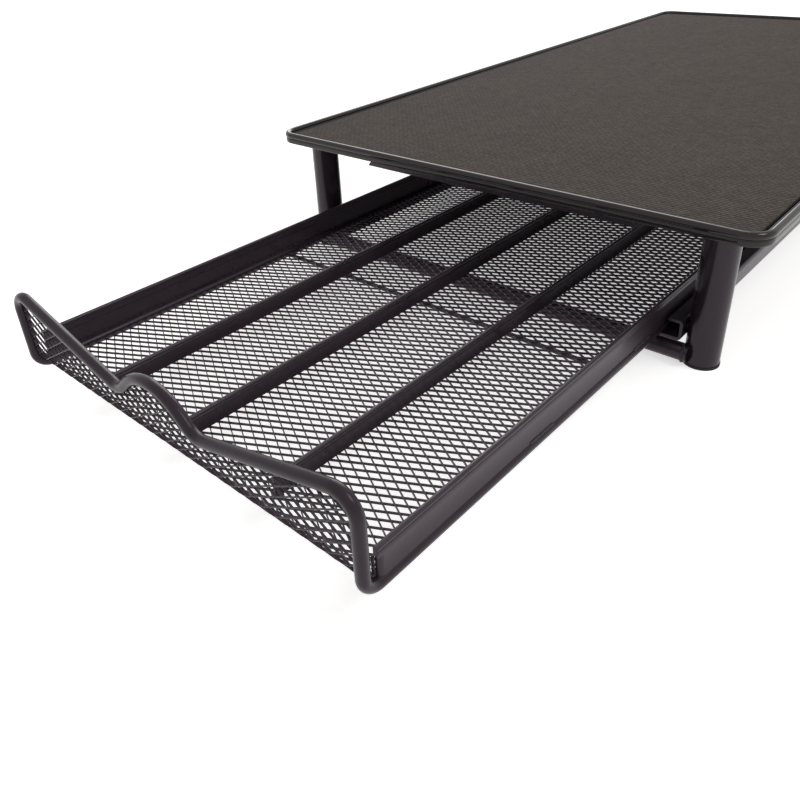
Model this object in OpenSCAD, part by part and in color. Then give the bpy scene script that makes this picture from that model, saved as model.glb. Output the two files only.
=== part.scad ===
// Coffee pod drawer: a raised steel tray on four legs, with a wire and mesh
// drawer that slides under it in two channel rails.
// Millimetres, +Z up, the drawer opens towards -Y.
// The origin is on the table under the middle of the whole length.

/* [Drawer] */
// Overall length of the drawer, front wire to rear wire
drawer_len = 387; // [250:1:480]
// How far the drawer stands out of the stand
drawer_out = 144.6; // [60:0.1:180]
// Number of pod lanes
lanes = 4; // [2:1:6]
// Clear width of one pod lane
lane_w = 38.5; // [37.5:0.1:45]
// Diameter of the bent frame wire
wire_d = 3.7; // [3:0.1:5]
// How far the frame wire stands proud of the side strips
wire_proud = 0.75; // [0.5:0.05:1]
// Bend radius of the frame wire where it turns up at the front
foot_bend_r = 5; // [4:0.5:8]
// Bend radius of the frame wire at the rear corners
rear_bend_r = 4; // [3.5:0.5:8]

/* [Drawer front] */
// Height of the ears' sharp corner above the side wires
ear_h = 29.5; // [26:0.1:34]
// Bend radius of the ears
ear_r = 6; // [4:0.5:8]
// Height of the dips' sharp corner above the side wires
dip_h = 14.6; // [13:0.1:18]
// Distance of each dip from the middle
dip_x = 18.6; // [16.5:0.1:21]
// Bend radius of the dips
dip_r = 7; // [4:0.5:9]
// Rise angle of the two sides of the grip
grip_a = 41; // [38:1:46]
// Bend radius over the top of the grip
grip_r = 20; // [14:1:22]

/* [Drawer sheet parts] */
// Thickness of the side, rear and divider strips
strip_t = 0.8; // [0.6:0.1:1.2]
// Height of the side and rear strips
strip_h = 9.7; // [8:0.1:14]
// Depth of the folded hem on the strips
hem_h = 3.2; // [2.5:0.1:4]
// Height of the lane dividers
divider_h = 6.5; // [5:0.1:8.5]
// Length that the side strips stop short of the front wire
strip_front_gap = 2.3; // [0.8:0.1:4]
// Diameter of the cross wires under the floor
cross_d = 1.8; // [1.6:0.1:1.8]
// Distance of each cross wire from its end of the drawer
cross_in = 118; // [60:1:120]

/* [Mesh] */
// Thickness of the expanded metal
mesh_t = 1; // [0.8:0.1:1.2]
// Height of the mesh floor above the middle of the side wires
floor_up = 1; // [1:0.1:1.3]
// Radius of the fold between mesh floor and mesh front
fold_r = 7.2; // [5:0.1:9]
// Long way of one mesh diamond in the floor
floor_lwd = 18.7; // [16:0.1:30]
// Short way of one mesh diamond in the floor
floor_swd = 12; // [10:1:16]
// Long way of one mesh diamond in the front
front_lwd = 5.9; // [5.5:0.1:12]
// Short way of one mesh diamond in the front
front_swd = 3.3; // [3:0.1:6]
// Width of the floor mesh strands
floor_strand = 1.8; // [1.2:0.1:2.4]
// Width of the front mesh strands
front_strand = 0.65; // [0.5:0.05:0.8]
// Width of the solid edge that is left round the mesh
mesh_edge = 1.2; // [0.8:0.1:3]

/* [Tray] */
// Diameter of the curled rim
rim_d = 4.9; // [4.4:0.1:6]
// Outer corner radius of the tray
corner_r = 9; // [7:0.5:14]
// Thickness of the tray sheet
sheet_t = 0.8; // [0.6:0.1:1]
// Depth of the tray sheet below the top of the rim
tray_drop = 3; // [2.4:0.1:3.1]
// Distance the rim reaches past the middle of the legs, at the sides
rim_over_x = 17; // [15:0.1:24]
// Distance the rim reaches past the middle of the legs, front and rear
rim_over_y = 13.8; // [13.6:0.1:20]
// Room behind the closed drawer, up to the rear of the rim
rear_room = 26; // [24:0.5:40]
// Thickness of the non-slip mat
mat_t = 1; // [0.6:0.1:1.4]
// Gap round the non-slip mat
mat_gap = 0.2; // [0.1:0.1:0.5]

/* [Stand] */
// Diameter of the legs
leg_d = 12; // [11:0.1:16]
// Wall thickness of the legs
leg_wall = 1; // [0.8:0.1:1.4]
// Width of the square plates on top of the legs
plate_w = 18; // [15:0.5:18]
// Thickness of the leg plates
plate_t = 1.2; // [1:0.1:2]
// Thickness of the foot caps under the legs
foot_t = 1; // [0.8:0.1:1.4]
// Depth that the foot caps reach into the legs
foot_plug_h = 4; // [3:0.5:4]
// Diameter of the cross bars between the feet
bar_d = 6.4; // [5:0.1:7]
// Height of the cross bars above the table
bar_lift = 1.1; // [1.1:0.1:1.5]
// Distance of the cross bars from the middle of the legs
bar_off = 4.6; // [3:0.1:5]
// Length of the stiffening channels under the tray
stiff_len = 126; // [80:1:140]
// Depth of the stiffening channels
stiff_h = 8; // [5:0.1:10]
// Width of the stiffening channels
stiff_w = 12; // [10:0.5:16]
// Clear height between the drawer's ears and the stiffening channels
head_gap = 2.2; // [1.5:0.1:6]

/* [Guide rails] */
// Height of the rails above the table
rail_z = 8.85; // [8.8:0.05:12]
// Thickness of the rail sheet
rail_t = 1; // [0.8:0.1:1.2]
// Outer height of the rails
rail_h = 7.6; // [7.4:0.1:8.5]
// Gap between the frame wire and the web of each rail
rail_side_gap = 4.95; // [4:0.05:5.4]
// Distance that each rail floor reaches inwards past the wire
rail_floor_in = 1.1; // [0.5:0.1:2]
// Running clearance under the frame wire
run_gap = 0.3; // [0.2:0.05:0.4]
// Gap between the drawer and the rail ends when it is closed
close_gap = 0.5; // [0.3:0.1:1]
// Distance of the opening stops from the rails' front ends
stop_in = 15; // [12:1:20]
// Distance of the drawer's stop lugs from its rear end
lug_back = 61; // [50:1:80]
// Length of the stop lugs
lug_len = 10; // [6:1:14]
// Diameter of the rail screws
screw_d = 3; // [2.5:0.1:3]
// Diameter of the rail screw heads
head_d = 3.9; // [3.6:0.1:4]

/* [Hidden] */
$fn = 48;

coat = "#2f2c30";     // satin black powder coat
gloss = "#1d1b1e";    // gloss black powder coat
mat_grey = "#56504c"; // warm dark grey mat
rubber = "#161616";   // black rubber

wire_r = wire_d / 2;
fit = 0.05;           // gap between pieces that are pushed together
end_gap = 0.1;        // gap at the butted end of a strip
seam = 0.1;           // gap at each end of a wire bend, inside its collar
collar = 0.02;        // how much thicker than the wire its seam collars are

// Drawer, across
pitch = lane_w + strip_t;
in_x = (lanes * lane_w + (lanes - 1) * strip_t) / 2;
strip_out_x = in_x + strip_t;
wire_x = strip_out_x + wire_proud - wire_r;
mesh_x = wire_x - wire_r;

// Stand, across
web_in_x = wire_x + wire_r + rail_side_gap;
web_out_x = web_in_x + rail_t;
leg_x = web_out_x + leg_d / 2;
half_w = leg_x + rim_over_x;

// Heights
run_z = rail_z + rail_t;
wire_z = run_z + run_gap + wire_r;
floor_z = wire_z + floor_up;
strip_z = wire_z + sqrt(pow(wire_r, 2) - pow(in_x - wire_x, 2));
ear_a = atan((ear_h - dip_h) / (wire_x - dip_x));
ear_cx = wire_x - ear_r;
ear_cz = wire_z + ear_h - ear_r * tan((90 + ear_a) / 2);
tray_under = ear_cz + ear_r + wire_r + head_gap + stiff_h;
sheet_top = tray_under + sheet_t;
rim_top = sheet_top + tray_drop;
rim_z = rim_top - rim_d / 2;

// Lengths
tray_d = drawer_len + rear_room;
total_len = tray_d + drawer_out;
front_y = -total_len / 2;
wire_y = front_y + wire_r;
rear_y = front_y + drawer_len;
rear_wire_y = rear_y - wire_r;
tray_front_y = front_y + drawer_out;
tray_rear_y = tray_front_y + tray_d;
leg_front_y = tray_front_y + rim_over_y;
leg_rear_y = tray_rear_y - rim_over_y;
rail_front_y = leg_front_y - leg_d / 2;
rail_rear_y = leg_rear_y + leg_d / 2;
closed_rear_y = rear_y + drawer_out + close_gap;
stop_y = rail_front_y + stop_in;
lug_y = rear_y - lug_back;
travel_out = lug_y - stop_y - close_gap;
fold_z = floor_z - mesh_t / 2 + fold_r;
floor_y0 = wire_y + fold_r;
floor_y1 = rear_wire_y - wire_r;
strip_y0 = wire_y + wire_r + strip_front_gap;
strip_y1 = rear_y - wire_proud;

// Grip of the drawer front: two straight sides and a round top between the
// round bottoms of the dips
apex_z = wire_z + dip_h + dip_x * tan(grip_a);
grip_cz = apex_z - grip_r / cos(grip_a);
dip_cx = dip_x + dip_r * (1 / cos(grip_a) - 1 / cos(ear_a)) / (tan(ear_a) + tan(grip_a));
dip_cz = wire_z + dip_h + (dip_cx - dip_x) * tan(ear_a) + dip_r / cos(ear_a);
screw_z = rail_z + rail_h / 2;

// ---- shared shapes ----

function unit(v) = v / norm(v);
function mid_turn(p, q, r) = acos(unit(q - p) * unit(r - q));

// One straight length of wire from a to b
module wire_run(a, b, d) {
    v = b - a;
    translate(a)
        rotate([0, acos(v.z / norm(v)), atan2(v.y, v.x)])
            cylinder(d = d, h = norm(v));
}

// One bend of radius r where the runs p-q and q-s meet at q
module wire_bend(p, q, s, r, d) {
    u = unit(q - p);
    w = unit(s - q);
    turn = acos(u * w);
    z = unit(cross(u, w));
    x = unit(cross(u, z));
    y = u;
    start = q - u * r * tan(turn / 2);
    centre = start - x * r;
    multmatrix([[x.x, y.x, z.x, centre.x], [x.y, y.y, z.y, centre.y],
        [x.z, y.z, z.z, centre.z], [0, 0, 0, 1]])
        rotate_extrude(angle = turn)
            translate([r, 0]) circle(d = d);
}

// A wire bent through the corners in pts, with one bend radius for each
// corner between the two ends. A hair-thin collar closes the seam between
// each straight run and its bend.
module bent_wire(pts, radii, d) {
    last = len(pts) - 1;
    trim = [for (i = [0 : last]) i == 0 || i == last ? 0
        : radii[i - 1] * tan(mid_turn(pts[i - 1], pts[i], pts[i + 1]) / 2)];
    for (i = [0 : last - 1]) {
        u = unit(pts[i + 1] - pts[i]);
        a = pts[i] + u * trim[i];
        b = pts[i + 1] - u * trim[i + 1];
        wire_run(a + u * (i == 0 ? 0 : seam), b - u * (i == last - 1 ? 0 : seam), d);
        if (i > 0) wire_run(a - u * seam, a + u * 2 * seam, d + collar);
        if (i < last - 1) wire_run(b - u * 2 * seam, b + u * seam, d + collar);
    }
    for (i = [1 : last - 1])
        wire_bend(pts[i - 1], pts[i], pts[i + 1], radii[i - 1], d);
}

// A flat plate with rounded corners, centred on the origin, bottom at z = 0
module round_plate(w, d, r, t) {
    translate([-w / 2, -d / 2 + r, 0]) cube([w, d - 2 * r, t]);
    translate([-w / 2 + r, -d / 2, 0]) cube([w - 2 * r, d, t]);
    for (sx = [-1, 1], sy = [-1, 1])
        translate([sx * (w / 2 - r), sy * (d / 2 - r), 0]) cylinder(r = r, h = t);
}

// The 2D profile in children() swept round a rounded rectangle. Profile +X
// points outwards and its origin runs on the rectangle.
module swept_frame(w, d, r) {
    for (k = [0, 1]) rotate(k * 180) {
        translate([w / 2, -d / 2 + r, 0]) rotate([90, 0, 180]) mirror([1, 0, 0])
            linear_extrude(d - 2 * r) children();
        translate([-w / 2 + r, -d / 2, 0]) rotate([90, 0, 90]) mirror([1, 0, 0])
            linear_extrude(w - 2 * r) children();
    }
    for (c = [[1, 1, 0], [-1, 1, 90], [-1, -1, 180], [1, -1, 270]])
        translate([c[0] * (w / 2 - r), c[1] * (d / 2 - r), 0]) rotate(c[2])
            rotate_extrude(angle = 90) translate([r, 0]) children();
}

// Sheet strip of height h with its top folded over: outer face on x = 0,
// hem towards +X
module strip_profile(h, hem) {
    square([strip_t, h - strip_t]);
    translate([strip_t, h - hem]) square([strip_t, hem - strip_t]);
    translate([strip_t, h - strip_t]) circle(r = strip_t);
}

module diamond(l, s) polygon([[l / 2, 0], [0, s / 2], [-l / 2, 0], [0, -s / 2]]);

// The opening left between strands of one width in a diamond of l by s
module mesh_hole(l, s, strand) {
    k = 1 - strand * sqrt(l * l + s * s) / (l * s);
    diamond(l * k, s * k);
}

module mirrored_x() {
    children();
    mirror([1, 0, 0]) children();
}

module at_legs() for (sx = [-1, 1], y = [leg_front_y, leg_rear_y])
    translate([sx * leg_x, y, 0]) children();

tray_mid_y = (tray_front_y + tray_rear_y) / 2;
rim_path_w = 2 * half_w - rim_d;
rim_path_d = tray_d - rim_d;
rim_path_r = corner_r - rim_d / 2;

// ---- stand ----

// Pan of sheet steel whose edge is curled outwards round a wire
module top_tray() color(gloss) translate([0, tray_mid_y, 0]) {
    curl_in = rim_d / 2 - sheet_t;
    sheet_dz = tray_under - rim_z;
    translate([0, 0, tray_under])
        round_plate(rim_path_w - 2 * curl_in, rim_path_d - 2 * curl_in,
            rim_path_r - curl_in, sheet_t);
    translate([0, 0, rim_z]) swept_frame(rim_path_w, rim_path_d, rim_path_r)
        difference() {
            circle(d = rim_d);
            circle(r = curl_in);
            polygon([[0, sheet_dz], [-rim_d, sheet_dz], [-rim_d, -rim_d], [-curl_in / 2, -rim_d]]);
        }
}

module rim_wire() color(coat) translate([0, tray_mid_y, rim_z])
    swept_frame(rim_path_w, rim_path_d, rim_path_r)
        circle(r = rim_d / 2 - sheet_t - fit);

module top_mat() color(mat_grey) translate([0, tray_mid_y, sheet_top])
    round_plate(rim_path_w - rim_d - 2 * mat_gap, rim_path_d - rim_d - 2 * mat_gap,
        rim_path_r - rim_d / 2 - mat_gap, mat_t);

// Hat channel along X, open side up against the tray, front web on y = 0
module stiffener() {
    flange = stiff_w / 2.4;
    outline = [[-flange, 0], [sheet_t, 0], [sheet_t, sheet_t - stiff_h],
        [stiff_w - sheet_t, sheet_t - stiff_h], [stiff_w - sheet_t, 0],
        [stiff_w + flange, 0], [stiff_w + flange, -sheet_t], [stiff_w, -sheet_t],
        [stiff_w, -stiff_h], [0, -stiff_h], [0, -sheet_t], [-flange, -sheet_t]];
    difference() {
        translate([-stiff_len / 2, 0, 0]) rotate([90, 0, 90])
            linear_extrude(stiff_len) polygon(outline);
        mirrored_x() translate([stiff_len / 2, 0, -stiff_h]) rotate([0, -40, 0])
            translate([0, -1, -stiff_h]) cube([stiff_h, stiff_w + 2, 3 * stiff_h / 2]);
    }
}

module front_stiffener() color(coat)
    translate([0, leg_front_y - 1.3, tray_under]) stiffener();
module rear_stiffener() color(coat)
    translate([0, leg_rear_y + 1.3, tray_under]) mirror([0, 1, 0]) stiffener();

module leg(sx, y) color(coat) difference() {
    translate([sx * leg_x, y, foot_t]) difference() {
        cylinder(d = leg_d, h = tray_under - plate_t - foot_t);
        translate([0, 0, -1])
            cylinder(d = leg_d - 2 * leg_wall, h = tray_under - plate_t - foot_t + 2);
    }
    translate([sx * (leg_x - leg_d), y, screw_z]) rotate([0, sx * 90, 0])
        cylinder(d = screw_d + 2 * fit, h = leg_d);
}

module leg_front_left() leg(-1, leg_front_y);
module leg_front_right() leg(1, leg_front_y);
module leg_rear_left() leg(-1, leg_rear_y);
module leg_rear_right() leg(1, leg_rear_y);

module leg_plates() color(coat) at_legs()
    translate([0, 0, tray_under - plate_t]) round_plate(plate_w, plate_w, 3, plate_t);

module foot_cap(sx, y) color(rubber) translate([sx * leg_x, y, 0]) {
    cylinder(d = leg_d + 0.4, h = foot_t);
    translate([0, 0, foot_t]) cylinder(d = leg_d - 2 * leg_wall - 2 * fit, h = foot_plug_h);
}

module foot_cap_front_left() foot_cap(-1, leg_front_y);
module foot_cap_front_right() foot_cap(1, leg_front_y);
module foot_cap_rear_left() foot_cap(-1, leg_rear_y);
module foot_cap_rear_right() foot_cap(1, leg_rear_y);

// Round bar between two feet, its ends coped to the legs
module cross_bar(y, leg_y) color(coat) difference() {
    half = leg_x - leg_d / 4;
    translate([-half, y, bar_lift + bar_d / 2]) rotate([0, 90, 0])
        cylinder(d = bar_d, h = 2 * half);
    for (sx = [-1, 1]) translate([sx * leg_x, leg_y, 0])
        cylinder(d = leg_d + 2 * fit, h = 2 * rail_z);
}

module front_cross_bar() cross_bar(leg_front_y - bar_off, leg_front_y);
module rear_cross_bar() cross_bar(leg_rear_y + bar_off, leg_rear_y);

// C channel section: floor under the wire, web against the legs, short top lip
module rail_section() {
    bend = 1.5 * rail_t;
    floor_in = mesh_x - rail_floor_in;
    lip_in = wire_x + wire_r + wire_proud;
    translate([floor_in, 0]) square([web_out_x - bend - floor_in, rail_t]);
    translate([lip_in, rail_h - rail_t]) square([web_out_x - bend - lip_in, rail_t]);
    translate([web_in_x, bend]) square([rail_t, rail_h - 2 * bend]);
    for (c = [[bend, 270], [rail_h - bend, 0]])
        translate([web_out_x - bend, c[0]]) rotate(c[1]) intersection() {
            difference() {
                circle(r = bend);
                circle(r = bend - rail_t);
            }
            square(bend);
        }
}

// Right-hand rail. Behind the closing stop only the web runs on to the leg.
module guide_rail() color(coat) translate([0, 0, rail_z]) difference() {
    union() {
        translate([0, rail_rear_y, 0]) rotate([90, 0, 0])
            linear_extrude(rail_rear_y - rail_front_y) rail_section();
        translate([mesh_x - rail_floor_in, closed_rear_y, 0])
            cube([web_in_x - mesh_x + rail_floor_in, rail_t, rail_h]);
        translate([wire_x + wire_r + wire_proud, stop_y - rail_t, 0])
            cube([rail_side_gap - wire_proud, rail_t, rail_h]);
    }
    translate([mesh_x - rail_floor_in - 1, closed_rear_y + rail_t, -1])
        cube([web_in_x - mesh_x + rail_floor_in + 1, rear_room, rail_h + 2]);
    for (y = [leg_front_y, leg_rear_y])
        translate([web_in_x - 1, y, screw_z - rail_z]) rotate([0, 90, 0])
            cylinder(d = screw_d + 2 * fit, h = rail_t + 2);
}

module guide_rail_right() guide_rail();
module guide_rail_left() mirror([1, 0, 0]) guide_rail();

// Pan head screws through each rail into the legs
module rail_screws() color(coat) mirrored_x()
    for (y = [leg_front_y, leg_rear_y]) translate([web_in_x, y, screw_z]) rotate([0, 90, 0]) {
        translate([0, 0, -head_d / 8]) cylinder(d = screw_d, h = rail_t + leg_wall + head_d / 4);
        translate([0, 0, -head_d / 3]) cylinder(d1 = head_d * 0.8, d2 = head_d, h = head_d / 6);
        translate([0, 0, -head_d / 6]) cylinder(d = head_d, h = head_d / 6);
    }

// ---- drawer ----

// One wire: rear, sides, ears and grip, joined in the middle of the rear
module drawer_wire() color(coat) {
    half = [[0, rear_wire_y, wire_z], [wire_x, rear_wire_y, wire_z], [wire_x, wire_y, wire_z],
        [wire_x, wire_y, wire_z + ear_h], [dip_x, wire_y, wire_z + dip_h], [0, wire_y, apex_z]];
    other = [for (i = [4 : -1 : 0]) [-half[i].x, half[i].y, half[i].z]];
    bends = [rear_bend_r, foot_bend_r, ear_r, dip_r];
    bent_wire(concat(half, other),
        concat(bends, [grip_r], [for (i = [3 : -1 : 0]) bends[i]]), wire_d);
}

// Diamond openings for a flat panel of w by d with its corner on the origin
module mesh_holes(w, d, l, s, strand) {
    nx = floor((w - 2 * mesh_edge) / l);
    ny = floor((d - 2 * mesh_edge) / s);
    x0 = (w - nx * l) / 2;
    y0 = (d - ny * s) / 2;
    for (j = [0 : ny - 1], i = [0 : nx - 1])
        translate([x0 + (i + 0.5) * l, y0 + (j + 0.5) * s]) mesh_hole(l, s, strand);
    for (j = [1 : ny - 1], i = [1 : nx - 1])
        translate([x0 + i * l, y0 + j * s]) mesh_hole(l, s, strand);
}

// Its rear corners follow the inside of the wire's bends
module floor_mesh() color(coat) translate([-mesh_x, floor_y0, floor_z - mesh_t])
    linear_extrude(mesh_t) difference() {
        len = floor_y1 - floor_y0;
        corner = rear_bend_r - wire_r;
        square([2 * mesh_x, len]);
        mesh_holes(2 * mesh_x, len, floor_lwd, floor_swd, floor_strand);
        for (sx = [0, 1]) translate([sx * 2 * mesh_x, len]) mirror([sx, 0]) difference() {
            translate([-1, -corner]) square(corner + 1);
            translate([corner, -corner]) circle(r = corner);
        }
    }

// Height of the underside of the front wire at x, above which no mesh reaches
function wire_under(x) = let (a = abs(x),
        ear_in = ear_r - wire_r, dip_in = dip_r + wire_r, grip_in = grip_r - wire_r)
    a > ear_cx - ear_in * sin(ear_a)
        ? ear_cz + sqrt(max(0, pow(ear_in, 2) - pow(a - ear_cx, 2)))
    : a > dip_cx + dip_in * sin(ear_a)
        ? wire_z + dip_h + (a - dip_x) * tan(ear_a) - wire_r / cos(ear_a)
    : a > dip_cx - dip_in * sin(grip_a) ? dip_cz - sqrt(pow(dip_in, 2) - pow(a - dip_cx, 2))
    : a > grip_in * sin(grip_a) ? apex_z - a * tan(grip_a) - wire_r / cos(grip_a)
    : grip_cz + sqrt(pow(grip_in, 2) - a * a);

// Face of the mesh front, held back from the wire and the sides by inset
module front_face(inset) {
    steps = 60;
    side_x = mesh_x - inset;
    top_edge = [for (i = [0 : steps]) let (x = side_x * (1 - 2 * i / steps))
        [x, wire_under(x) - inset]];
    polygon(concat([[-side_x, fold_z], [side_x, fold_z]], top_edge));
}

// Expanded metal that turns up from the floor and fills the front wire. Its
// rows of diamonds are counted along the sheet, through the fold and on up.
module front_mesh() color(coat) {
    fold_len = fold_r * PI / 2;
    rows = ceil(2 * (fold_len + ear_h) / front_swd);
    cols = floor((mesh_x - mesh_edge) / front_lwd * 2) - 1;
    difference() {
        union() {
            translate([0, wire_y + mesh_t / 2, 0]) rotate([90, 0, 0]) linear_extrude(mesh_t)
                difference() {
                    front_face(fit);
                    intersection() {
                        front_face(mesh_edge / 2);
                        for (j = [1 : rows], i = [-cols - 2 : cols + 2])
                            if ((i + j) % 2 == 0 && j * front_swd / 2 > fold_len + front_swd / 2)
                                translate([i * front_lwd / 2, fold_z - fold_len + j * front_swd / 2])
                                    mesh_hole(front_lwd, front_swd, front_strand);
                    }
                }
            translate([-mesh_x, wire_y + fold_r, fold_z]) rotate([0, 90, 0]) mirror([0, 1, 0])
                rotate_extrude(angle = 90) translate([fold_r - mesh_t / 2, 0])
                    square([mesh_t, 2 * mesh_x]);
        }
        for (j = [1 : rows], i = [-cols : cols])
            if ((i + j) % 2 == 0 && j * front_swd / 2 <= fold_len + front_swd / 2)
                translate([i * front_lwd / 2, wire_y + fold_r, fold_z])
                    rotate([180 - min(90, j * front_swd / 2 / fold_r * 180 / PI), 0, 0])
                        translate([0, max(0, j * front_swd / 2 - fold_len), fold_r / 2])
                            linear_extrude(fold_r) mesh_hole(front_lwd, front_swd, front_strand);
    }
}

// Side strip on the right: it stands on the wire, hem inwards
module side_strip() color(coat) difference() {
    translate([strip_out_x, strip_y0, strip_z]) rotate([90, 0, 0]) mirror([1, 0, 0])
        mirror([0, 0, 1]) linear_extrude(strip_y1 - strip_y0) strip_profile(strip_h, hem_h);
    translate([0, wire_y + foot_bend_r, strip_z]) rotate([90, 0, 90]) linear_extrude(2 * in_x)
        polygon([[0, -1], [-foot_bend_r, -1], [-foot_bend_r, foot_bend_r - wire_r],
            [-foot_bend_r + wire_r, foot_bend_r - wire_r], [0, 0]]);
}

module side_strip_right() side_strip();
module side_strip_left() mirror([1, 0, 0]) side_strip();

// The rear strip fits between the hems of the side strips, hem forwards
module rear_strip() color(coat) {
    half = in_x - strip_t - end_gap;
    translate([half, strip_y1, strip_z]) rotate([90, 0, 270])
        linear_extrude(2 * half) strip_profile(strip_h, hem_h);
}

module divider(x) color(coat)
    translate([x + strip_t / 2, floor_y1 - end_gap, floor_z]) rotate([90, 0, 0]) mirror([1, 0, 0])
        linear_extrude(floor_y1 - floor_y0 - 2 * end_gap) strip_profile(divider_h, 2 * strip_t);

module divider_left() divider(-pitch);
module divider_middle() divider(0);
module divider_right() divider(pitch);

// Straight wire across the underside of the floor, coped to the side wires
module cross_wire(y) color(coat) difference() {
    translate([-wire_x, y, floor_z - mesh_t - cross_d / 2]) rotate([0, 90, 0])
        cylinder(d = cross_d, h = 2 * wire_x);
    for (sx = [-1, 1]) translate([sx * wire_x, y + wire_d, wire_z]) rotate([90, 0, 0])
        cylinder(d = wire_d, h = 2 * wire_d);
}

module cross_wire_front() cross_wire(front_y + cross_in);
module cross_wire_rear() cross_wire(rear_y - cross_in);

// Small lugs on the wire that run under the rail lips and meet the stops
module stop_lugs() color(coat) mirrored_x() difference() {
    translate([wire_x, lug_y, run_z + run_gap])
        cube([web_in_x - 1 - wire_x, lug_len, rail_h - 2 * rail_t - 2 * run_gap]);
    translate([wire_x, lug_y - 1, wire_z]) rotate([-90, 0, 0])
        cylinder(d = wire_d, h = lug_len + 2);
    translate([wire_x - 1, lug_y - 1, run_z])
        cube([wire_r * 0.7 + 1, lug_len + 2, rail_h]);
}

top_tray();
rim_wire();
top_mat();
front_stiffener();
rear_stiffener();
leg_front_left();
leg_front_right();
leg_rear_left();
leg_rear_right();
leg_plates();
foot_cap_front_left();
foot_cap_front_right();
foot_cap_rear_left();
foot_cap_rear_right();
front_cross_bar();
rear_cross_bar();
guide_rail_left();
guide_rail_right();
rail_screws();
drawer_wire();
floor_mesh();
front_mesh();
side_strip_left();
side_strip_right();
rear_strip();
divider_left();
divider_middle();
divider_right();
cross_wire_front();
cross_wire_rear();
stop_lugs();
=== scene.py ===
import math

import bmesh
import bpy
from mathutils import Matrix, Vector


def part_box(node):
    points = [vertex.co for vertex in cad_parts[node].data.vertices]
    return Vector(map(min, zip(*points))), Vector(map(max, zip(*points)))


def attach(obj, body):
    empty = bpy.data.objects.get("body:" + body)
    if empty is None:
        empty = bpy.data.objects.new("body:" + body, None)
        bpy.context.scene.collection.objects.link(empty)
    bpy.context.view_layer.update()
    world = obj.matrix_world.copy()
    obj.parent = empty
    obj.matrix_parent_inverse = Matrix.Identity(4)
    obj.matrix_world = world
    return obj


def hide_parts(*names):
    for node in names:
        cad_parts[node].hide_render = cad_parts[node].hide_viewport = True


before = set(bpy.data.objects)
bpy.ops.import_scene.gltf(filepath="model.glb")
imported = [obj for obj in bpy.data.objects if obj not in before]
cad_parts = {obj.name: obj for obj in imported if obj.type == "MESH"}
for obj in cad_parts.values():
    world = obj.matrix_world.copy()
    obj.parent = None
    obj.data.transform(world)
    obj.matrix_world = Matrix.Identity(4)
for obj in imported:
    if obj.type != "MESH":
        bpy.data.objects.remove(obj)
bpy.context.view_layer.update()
mm = 0.001
print("frame loaded:", len(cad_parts), "nodes")


# small tools

def linear(hexCode):  # an sRGB hex value to linear colour
    parts = [int(hexCode[i:i + 2], 16) / 255 for i in (1, 3, 5)]
    return [c / 12.92 if c <= 0.04045 else ((c + 0.055) / 1.055) ** 2.4 for c in parts] + [1]


def addNode(tree, kind, links=None, **settings):  # one node, its settings and what feeds it
    node = tree.nodes.new(kind)
    for name, value in settings.items():
        setattr(node, name, value)
    for name, value in (links or {}).items():
        socket = node.inputs[name]
        if isinstance(value, bpy.types.NodeSocket):
            tree.links.new(value, socket)
        else:
            socket.default_value = value
    return node


def newMaterial(name):
    material = bpy.data.materials.new(name)
    material.use_nodes = True
    material.node_tree.nodes.clear()
    return material, material.node_tree


def startTree(name, inputs):  # a geometry tree with named inputs, and what comes in by them
    tree = bpy.data.node_groups.new(name, "GeometryNodeTree")
    for label, kind in inputs:
        tree.interface.new_socket(label, in_out="INPUT", socket_type="NodeSocket" + kind)
    tree.interface.new_socket("Geometry", in_out="OUTPUT", socket_type="NodeSocketGeometry")
    return tree, addNode(tree, "NodeGroupInput").outputs


def endTree(tree, geometry, finish):  # instances made real, and their finish
    real = addNode(tree, "GeometryNodeRealizeInstances", {"Geometry": geometry})
    painted = addNode(tree, "GeometryNodeSetMaterial",
        {"Geometry": real.outputs["Geometry"], "Material": finish})
    addNode(tree, "NodeGroupOutput", {"Geometry": painted.outputs["Geometry"]})
    return tree


def dress(node, material):  # gives a CAD node a better material
    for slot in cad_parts[node].material_slots:
        slot.material = material


def meshObject(name, verts, faces, material=None, edges=()):
    mesh = bpy.data.meshes.new(name)
    mesh.from_pydata(verts, list(edges), faces)
    mesh.validate()
    thing = bpy.data.objects.new(name, mesh)
    bpy.context.scene.collection.objects.link(thing)
    if material:
        mesh.materials.append(material)
    return thing


def tidyMesh(thing, merge=0.01 * mm, sharp=40):
    # merged doubles, outward faces, and smooth shading with edges that are sharp past an angle
    work = bmesh.new()
    work.from_mesh(thing.data)
    bmesh.ops.remove_doubles(work, verts=work.verts, dist=merge)
    bmesh.ops.dissolve_degenerate(work, edges=work.edges, dist=merge / 10)
    bmesh.ops.recalc_face_normals(work, faces=work.faces)
    for face in work.faces:
        face.smooth = True
    for edge in work.edges:
        shallow = edge.calc_face_angle(0) < math.radians(sharp)
        edge.smooth = len(edge.link_faces) == 2 and shallow
    work.to_mesh(thing.data)
    work.free()
    return thing


def applyModifiers(thing):
    graph = bpy.context.evaluated_depsgraph_get()
    mesh = bpy.data.meshes.new_from_object(thing.evaluated_get(graph))
    thing.modifiers.clear()
    thing.data = mesh


def bakeTree(thing, tree, inputs):  # runs a node tree on an object and keeps the plain mesh
    modifier = thing.modifiers.new(tree.name, "NODES")
    modifier.node_group = tree
    for item in tree.interface.items_tree:
        if item.item_type == "SOCKET" and item.in_out == "INPUT" and item.name in inputs:
            modifier[item.identifier] = inputs[item.name]
    applyModifiers(thing)


def cutWith(thing, cutter, operation):  # a boolean, after which the cutter goes
    modifier = thing.modifiers.new("cut", "BOOLEAN")
    modifier.operation, modifier.object, modifier.solver = operation, cutter, "MANIFOLD"
    applyModifiers(thing)
    bpy.data.objects.remove(cutter)


def finishPiece(thing, body, slot, *nodes):
    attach(thing, body)
    if nodes:
        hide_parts(*nodes)


# camera

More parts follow.
